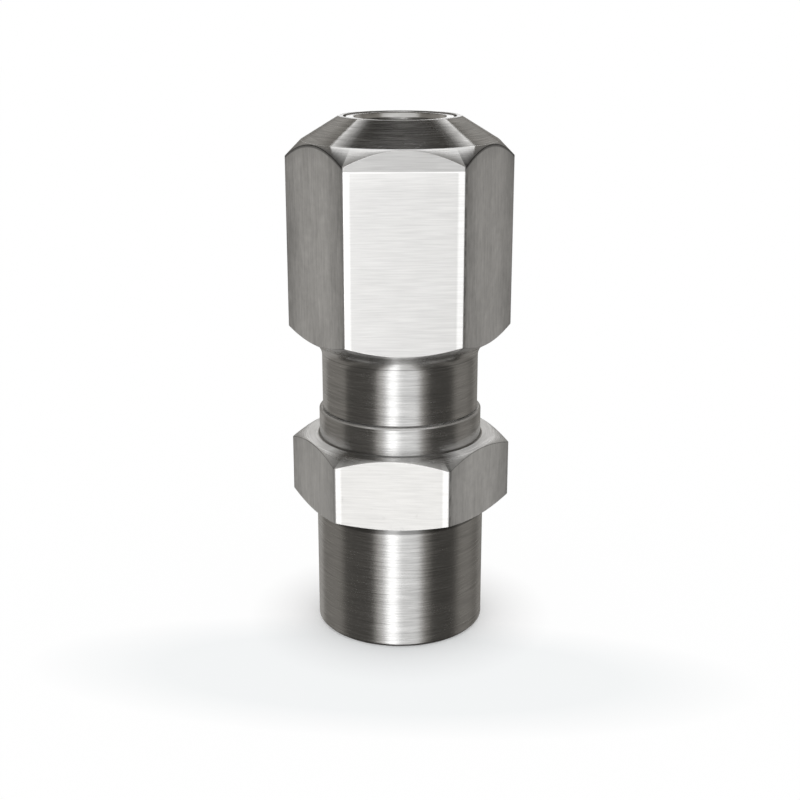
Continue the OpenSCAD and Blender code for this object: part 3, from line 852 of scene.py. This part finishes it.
class FITTING_OT_release_ring(bpy.types.Operator):
    """Make the release ring in the mouth, with its head, sleeve, bead and opening tip"""

    bl_idname = "fitting.release_ring"
    bl_label = "Release ring"

    def execute(self, context):
        rows = [
            (5.15, 56.8, 0.05), (5.45, 56.8, 0.08), (5.95, 57.4, 0.1), (5.95, 58.2, 0.05),
            (6.5, 58.2, 0.05), (6.5, 58.8, 0.08), (6.4, 59.2, 0.04), (6.1, 59.2, 0.05),
            (6.1, 62.95, 0.06), (6.45, 62.95, 0.05), (6.6, 63.1, 0.06), (6.6, 64.35, 0.08),
            (6.45, 64.5, 0.08), (5.6, 64.5, 0.2), (5.15, 63.9, 0.3),
        ]
        piece = turned_piece("steel_release_ring", rows, even_angles(144))
        stand_for(piece, "release_ring", "bright_steel", context)
        return {"FINISHED"}


class FITTING_OT_seals(bpy.types.Operator):
    """Make the rubber seal rings and the backup ring"""

    bl_idname = "fitting.seals"
    bl_label = "Seals"

    def execute(self, context):
        theta = even_angles(128)
        rings = {
            "dust_seal": (6.65, 1.0, 60.35),
            "tube_seal": (5.77, 1.5, 40.8),
            "cap_seal": (7.82, 1.2, 29.8),
            "poppet_seal": (5.0, 1.6, 23.926),
        }
        for node, (mid, section, z) in rings.items():
            piece = turned_piece("rubber_" + node, seal_rows(mid, section, z), theta)
            stand_for(piece, node, "rubber", context, weighted=False)
        backup = [(5.1, 41.6, 0.05), (6.52, 41.6, 0.05), (6.52, 42.9, 0.05), (5.1, 42.9, 0.05)]
        piece = turned_piece("white_backup_ring", backup, theta)
        stand_for(piece, "backup_ring", "ptfe", context)
        return {"FINISHED"}


class FITTING_OT_inner_parts(bpy.types.Operator):
    """Make the guide ring, the wave spring and the valve's spring, and finish the other parts"""

    bl_idname = "fitting.inner_parts"
    bl_label = "Inner parts"

    def execute(self, context):
        theta = even_angles(144)
        guide = [
            (5.15, 43, 0.05), (6.47, 43, 0.05), (6.47, 44, 0.03), (7.85, 44, 0.05),
            (7.85, 45.4, 0.05), (7.65, 45.6, 0.05), (5.65, 45.6, 0.1), (5.15, 45.1, 0.1),
        ]
        stand_for(
            turned_piece("steel_guide_ring", guide, theta), "guide_ring", "bright_steel", context
        )
        foot, tall, pressed, strip, room = 45.6, 2.6, 1.1, 0.35, 0.02
        lift = foot + room + (tall - strip - 2 * room) * (1 - np.cos(3 * theta)) / 2
        wave = [
            (6.2, lift, 0.05), (7.65, lift, 0.05), (7.65, lift + strip, 0.05),
            (6.2, lift + strip, 0.05),
        ]
        band = turned_piece("wave_spring_band", wave, theta)
        stand_for(band, "wave_spring", "spring_steel", context)
        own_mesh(band)
        wire, turns, foot, tall, pressed = 0.9, 5.5, 9.5, 10.9, 7.9
        bottom, top = foot + wire / 2 + room, foot + tall - wire / 2 - room
        t = np.linspace(0, turns, 331)
        rise = top - bottom - 2 * wire
        height = (
            bottom
            + wire * np.minimum(t, 1)
            + rise * np.clip(t - 1, 0, turns - 2) / (turns - 2)
            + wire * np.maximum(0, t - turns + 1)
        )
        coil = coil_piece("valve_coil", 5.0, wire * 0.98, (2 * np.pi * t, height))
        stand_for(coil, "poppet_spring", "spring_steel", context, weighted=False)
        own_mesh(coil)
        stays = {
            "grip_collet": "spring_steel",
            "cap_snap_ring": "spring_steel",
            "retaining_ring": "spring_steel",
            "tube_follower": "bright_steel",
            "poppet": "bright_steel",
            "spring_seat": "bright_steel",
        }
        for node, slot in stays.items():
            dress_node(node, slot, context)
        return {"FINISHED"}


# Studio: panels of light and shade round the fitting, as azimuth from and to (degrees from the
# camera's side, to its right), elevation from and to, soft edge in degrees, and strength
PANELS = (
    ("walls", -180, 180, -90, 90, 10, 0.24),
    ("left flag", -86, -34, -90, 40, 8, 0.085),
    ("right flag", 40, 86, -90, 40, 12, 0.07),
    ("right wall", 120, 138, -90, 40, 8, 0.19),
    ("front fill", -32, 31, -90, 40, 9, 0.6),
    ("front glow", -20.5, 27, -90, 40, 5, 1.05),
    ("low front glow", -2, 27, -90, -24, 5, 0.82),
    ("front strip", -18, -3, -90, 40, 4, 1.9),
    ("left back fill", -168, -138, -90, 20, 6, 0.32),
    ("right back fill", 140, 168, -90, 20, 6, 0.32),
    ("low left back fill", -168, -137, -90, -12, 6, 0.48),
    ("back line", 168, 192, -90, -2, 4, 0.1),
    ("low back flag", 100, 260, -86, -42, 6, 0.05),
    ("back screen", 142, 218, -2, 15, 4, 0.26),
    ("mouth screen", 173, 187, -2, 12, 4, 1.6),
    ("upper back screen", 142, 218, 15, 38, 5, 0.42),
    ("top back flag", 110, 250, 50, 82, 8, 0.035),
    ("top front softbox", -80, 80, 56, 86, 8, 0.85),
)


class FITTING_OT_studio(bpy.types.Operator):
    """Make the floor, the reflected panels, the light and the camera"""

    bl_idname = "fitting.studio"
    bl_label = "Studio"

    def execute(self, context):
        scene = context.scene
        settings = scene.fitting_studio
        self.floor(settings)
        self.panels(settings)
        self.world(scene)
        self.camera(scene, settings)
        scene.view_settings.view_transform = "Standard"
        return {"FINISHED"}

    def floor(self, settings):
        """A round floor: point = (r cos a, r sin a, 0), with a painted shadow in front of the
        fitting: a soft ellipse of the painted shadow's colour, white farther away.

        The camera, and what clear things show, gets the floor's colour with its painted shadow
        beyond the fitting's contact shadow, and all other light gets plain paper. Metal shows the
        panels instead.
        """
        columns, drop = 96, -0.01
        angle = even_angles(columns)
        radii = np.array([2, 12, 30, 60, 120, 240, 480, 900, 1500.0])[::-1, None]
        place = np.stack(
            [radii * np.cos(angle), radii * np.sin(angle), 0 * radii + drop + 0 * angle], axis=-1
        )
        count = len(radii)
        ring = np.arange(columns) + (count - 1) * columns
        piece = mesh_piece(
            "floor", place.reshape(-1, 3), grid_faces(count, columns, False), {},
            [(ring, np.array([0, 0, drop]), False)],
        )
        paper = Finish("floor_paper")
        _, (x, y, _) = paper.place()
        # The painted shadow: a soft ellipse a little in front of the fitting.
        half_width, half_depth, behind = 0.037, 0.0125, 0.017
        wide, deep = x * (1 / half_width), (y + behind) * (1 / half_depth)
        painted_shadow = ((wide * wide + deep * deep) ** 0.5).ramp(1.2, 0.75)
        tone = paper.mix(painted_shadow, (1.0, 1.0, 1.0), colour(settings.painted_floor_shadow))
        matt = paper.node(
            "ShaderNodeBsdfPrincipled", {},
            {"Base Color": tone, "Roughness": 1.0, "Specular IOR Level": 0.0},
        )
        clear = paper.node("ShaderNodeEmission", {}, {"Color": tone, "Strength": 1.0})
        seen = paper.node("ShaderNodeLightPath", {}, {}, "Is Camera Ray")
        for ray in ("Is Glossy Ray", "Is Transmission Ray"):
            seen = seen + paper.node("ShaderNodeLightPath", {}, {}, ray)
        share = ((x * x + y * y) ** 0.5).ramp(0.0085, 0.02) * 0.95
        paper.node_output(
            paper.node("ShaderNodeMixShader", {}, {0: seen.clamp() * share, 1: matt, 2: clear})
        )
        piece.data.materials.append(paper.material)
        piece.visible_glossy = False

    def panels(self, settings):
        """A dome that only reflections see: point = R (sin a cos e, -cos a cos e, sin e), with
        each panel's strength blended in over its soft edge."""
        reach, step = 1200.0, 1.5
        azimuth = np.radians(np.arange(0, 360, step))
        elevation = np.radians(np.concatenate([[-89.5], np.arange(-88.5, 89, step), [89.5]]))
        a, e = np.meshgrid(azimuth, elevation)
        turn = a + np.radians(settings.azimuth)
        place = reach * np.stack(
            [np.sin(turn) * np.cos(e), -np.cos(turn) * np.cos(e), np.sin(e)], axis=-1
        )
        glow = np.zeros_like(a)
        for _, left, right, low, high, soft, strength in PANELS:
            middle, half = (left + right) / 2, (right - left) / 2
            off = np.abs((np.degrees(a) - middle + 180) % 360 - 180)
            wide = np.clip((half - off) / soft + 0.5, 0, 1) if half < 180 else 1.0
            tall = np.clip((np.degrees(e) - low) / soft + 0.5, 0, 1)
            tall = tall * np.clip((high - np.degrees(e)) / soft + 0.5, 0, 1)
            share = wide * (tall if high - low < 180 else 1.0)
            share = share * share * (3 - 2 * share)
            glow = glow * (1 - share) + strength * share
        rows, columns = a.shape
        count = rows * columns
        poles = [
            (np.arange(columns), np.array([0, 0, -reach]), True),
            (np.arange(columns) + count - columns, np.array([0, 0, reach]), False),
        ]
        piece = mesh_piece(
            "studio_panels", place.reshape(-1, 3), grid_faces(rows, columns, False),
            {"glow": glow}, poles,
        )
        cloth = Finish("panel_light")
        glow = cloth.attribute("glow")
        cast = cloth.mix(glow.ramp(0.2, 0.9), (1.0, 0.945, 0.865), (1.0, 1.0, 1.0))
        cloth.node_output(cloth.node("ShaderNodeEmission", {}, {"Color": cast, "Strength": glow}))
        cloth.material.cycles.emission_sampling = "NONE"
        piece.data.materials.append(cloth.material)
        piece.visible_camera = piece.visible_diffuse = False
        piece.visible_shadow = piece.visible_transmission = False

    def world(self, scene):
        """A white world, at which a colour renders as it is written."""
        world = bpy.data.worlds.new("white_studio")
        world.use_nodes = True
        shade = world.node_tree.nodes["Background"]
        shade.inputs["Color"].default_value = (1.0, 1.0, 1.0, 1.0)
        shade.inputs["Strength"].default_value = 1.0
        scene.world = world

    def camera(self, scene, settings):
        """The camera at the photograph's angle."""
        turn = np.radians(settings.azimuth)
        lens = bpy.data.cameras.new("front_camera")
        lens.lens, lens.sensor_width = settings.lens, 36.0
        lens.clip_start, lens.clip_end = 0.005, 10.0
        eye = bpy.data.objects.new("front_camera", lens)
        eye.location = (
            settings.distance * np.sin(turn), -settings.distance * np.cos(turn), settings.height
        )
        eye.rotation_euler = (np.radians(90 - settings.pitch), 0.0, turn)
        scene.collection.objects.link(eye)
        scene.camera = eye


class FITTING_PT_panel(bpy.types.Panel):
    """Sizes, colours and steps of the fitting"""

    bl_label = "Tube fitting"
    bl_idname = "FITTING_PT_panel"
    bl_space_type = "VIEW_3D"
    bl_region_type = "UI"
    bl_category = "Fitting"

    def draw(self, context):
        layout = self.layout
        for group in (
            context.scene.fitting_sizes, context.scene.fitting_colours,
            context.scene.fitting_studio,
        ):
            for key in group.__annotations__:
                layout.prop(group, key)
        for step in STEPS:
            layout.operator(step.bl_idname)


GROUPS = {
    "fitting_sizes": FittingSizes,
    "fitting_colours": FittingColours,
    "fitting_studio": StudioSettings,
}
STEPS = (
    FITTING_OT_studio, FITTING_OT_body, FITTING_OT_cap_nut, FITTING_OT_release_ring,
    FITTING_OT_seals, FITTING_OT_inner_parts,
)


def register():
    """Registers the classes and the scene's groups of settings."""
    for made in (*GROUPS.values(), *STEPS, FITTING_PT_panel):
        bpy.utils.register_class(made)
    for name, group in GROUPS.items():
        setattr(bpy.types.Scene, name, bpy.props.PointerProperty(type=group))


def unregister():
    """Takes the classes and the groups of settings away again."""
    for name in GROUPS:
        delattr(bpy.types.Scene, name)
    for made in (FITTING_PT_panel, *reversed(STEPS), *GROUPS.values()):
        bpy.utils.unregister_class(made)


def main():
    """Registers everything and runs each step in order."""
    register()
    for step in STEPS:
        group, name = step.bl_idname.split(".")
        getattr(getattr(bpy.ops, group), name)()


if __name__ == "__main__":
    main()
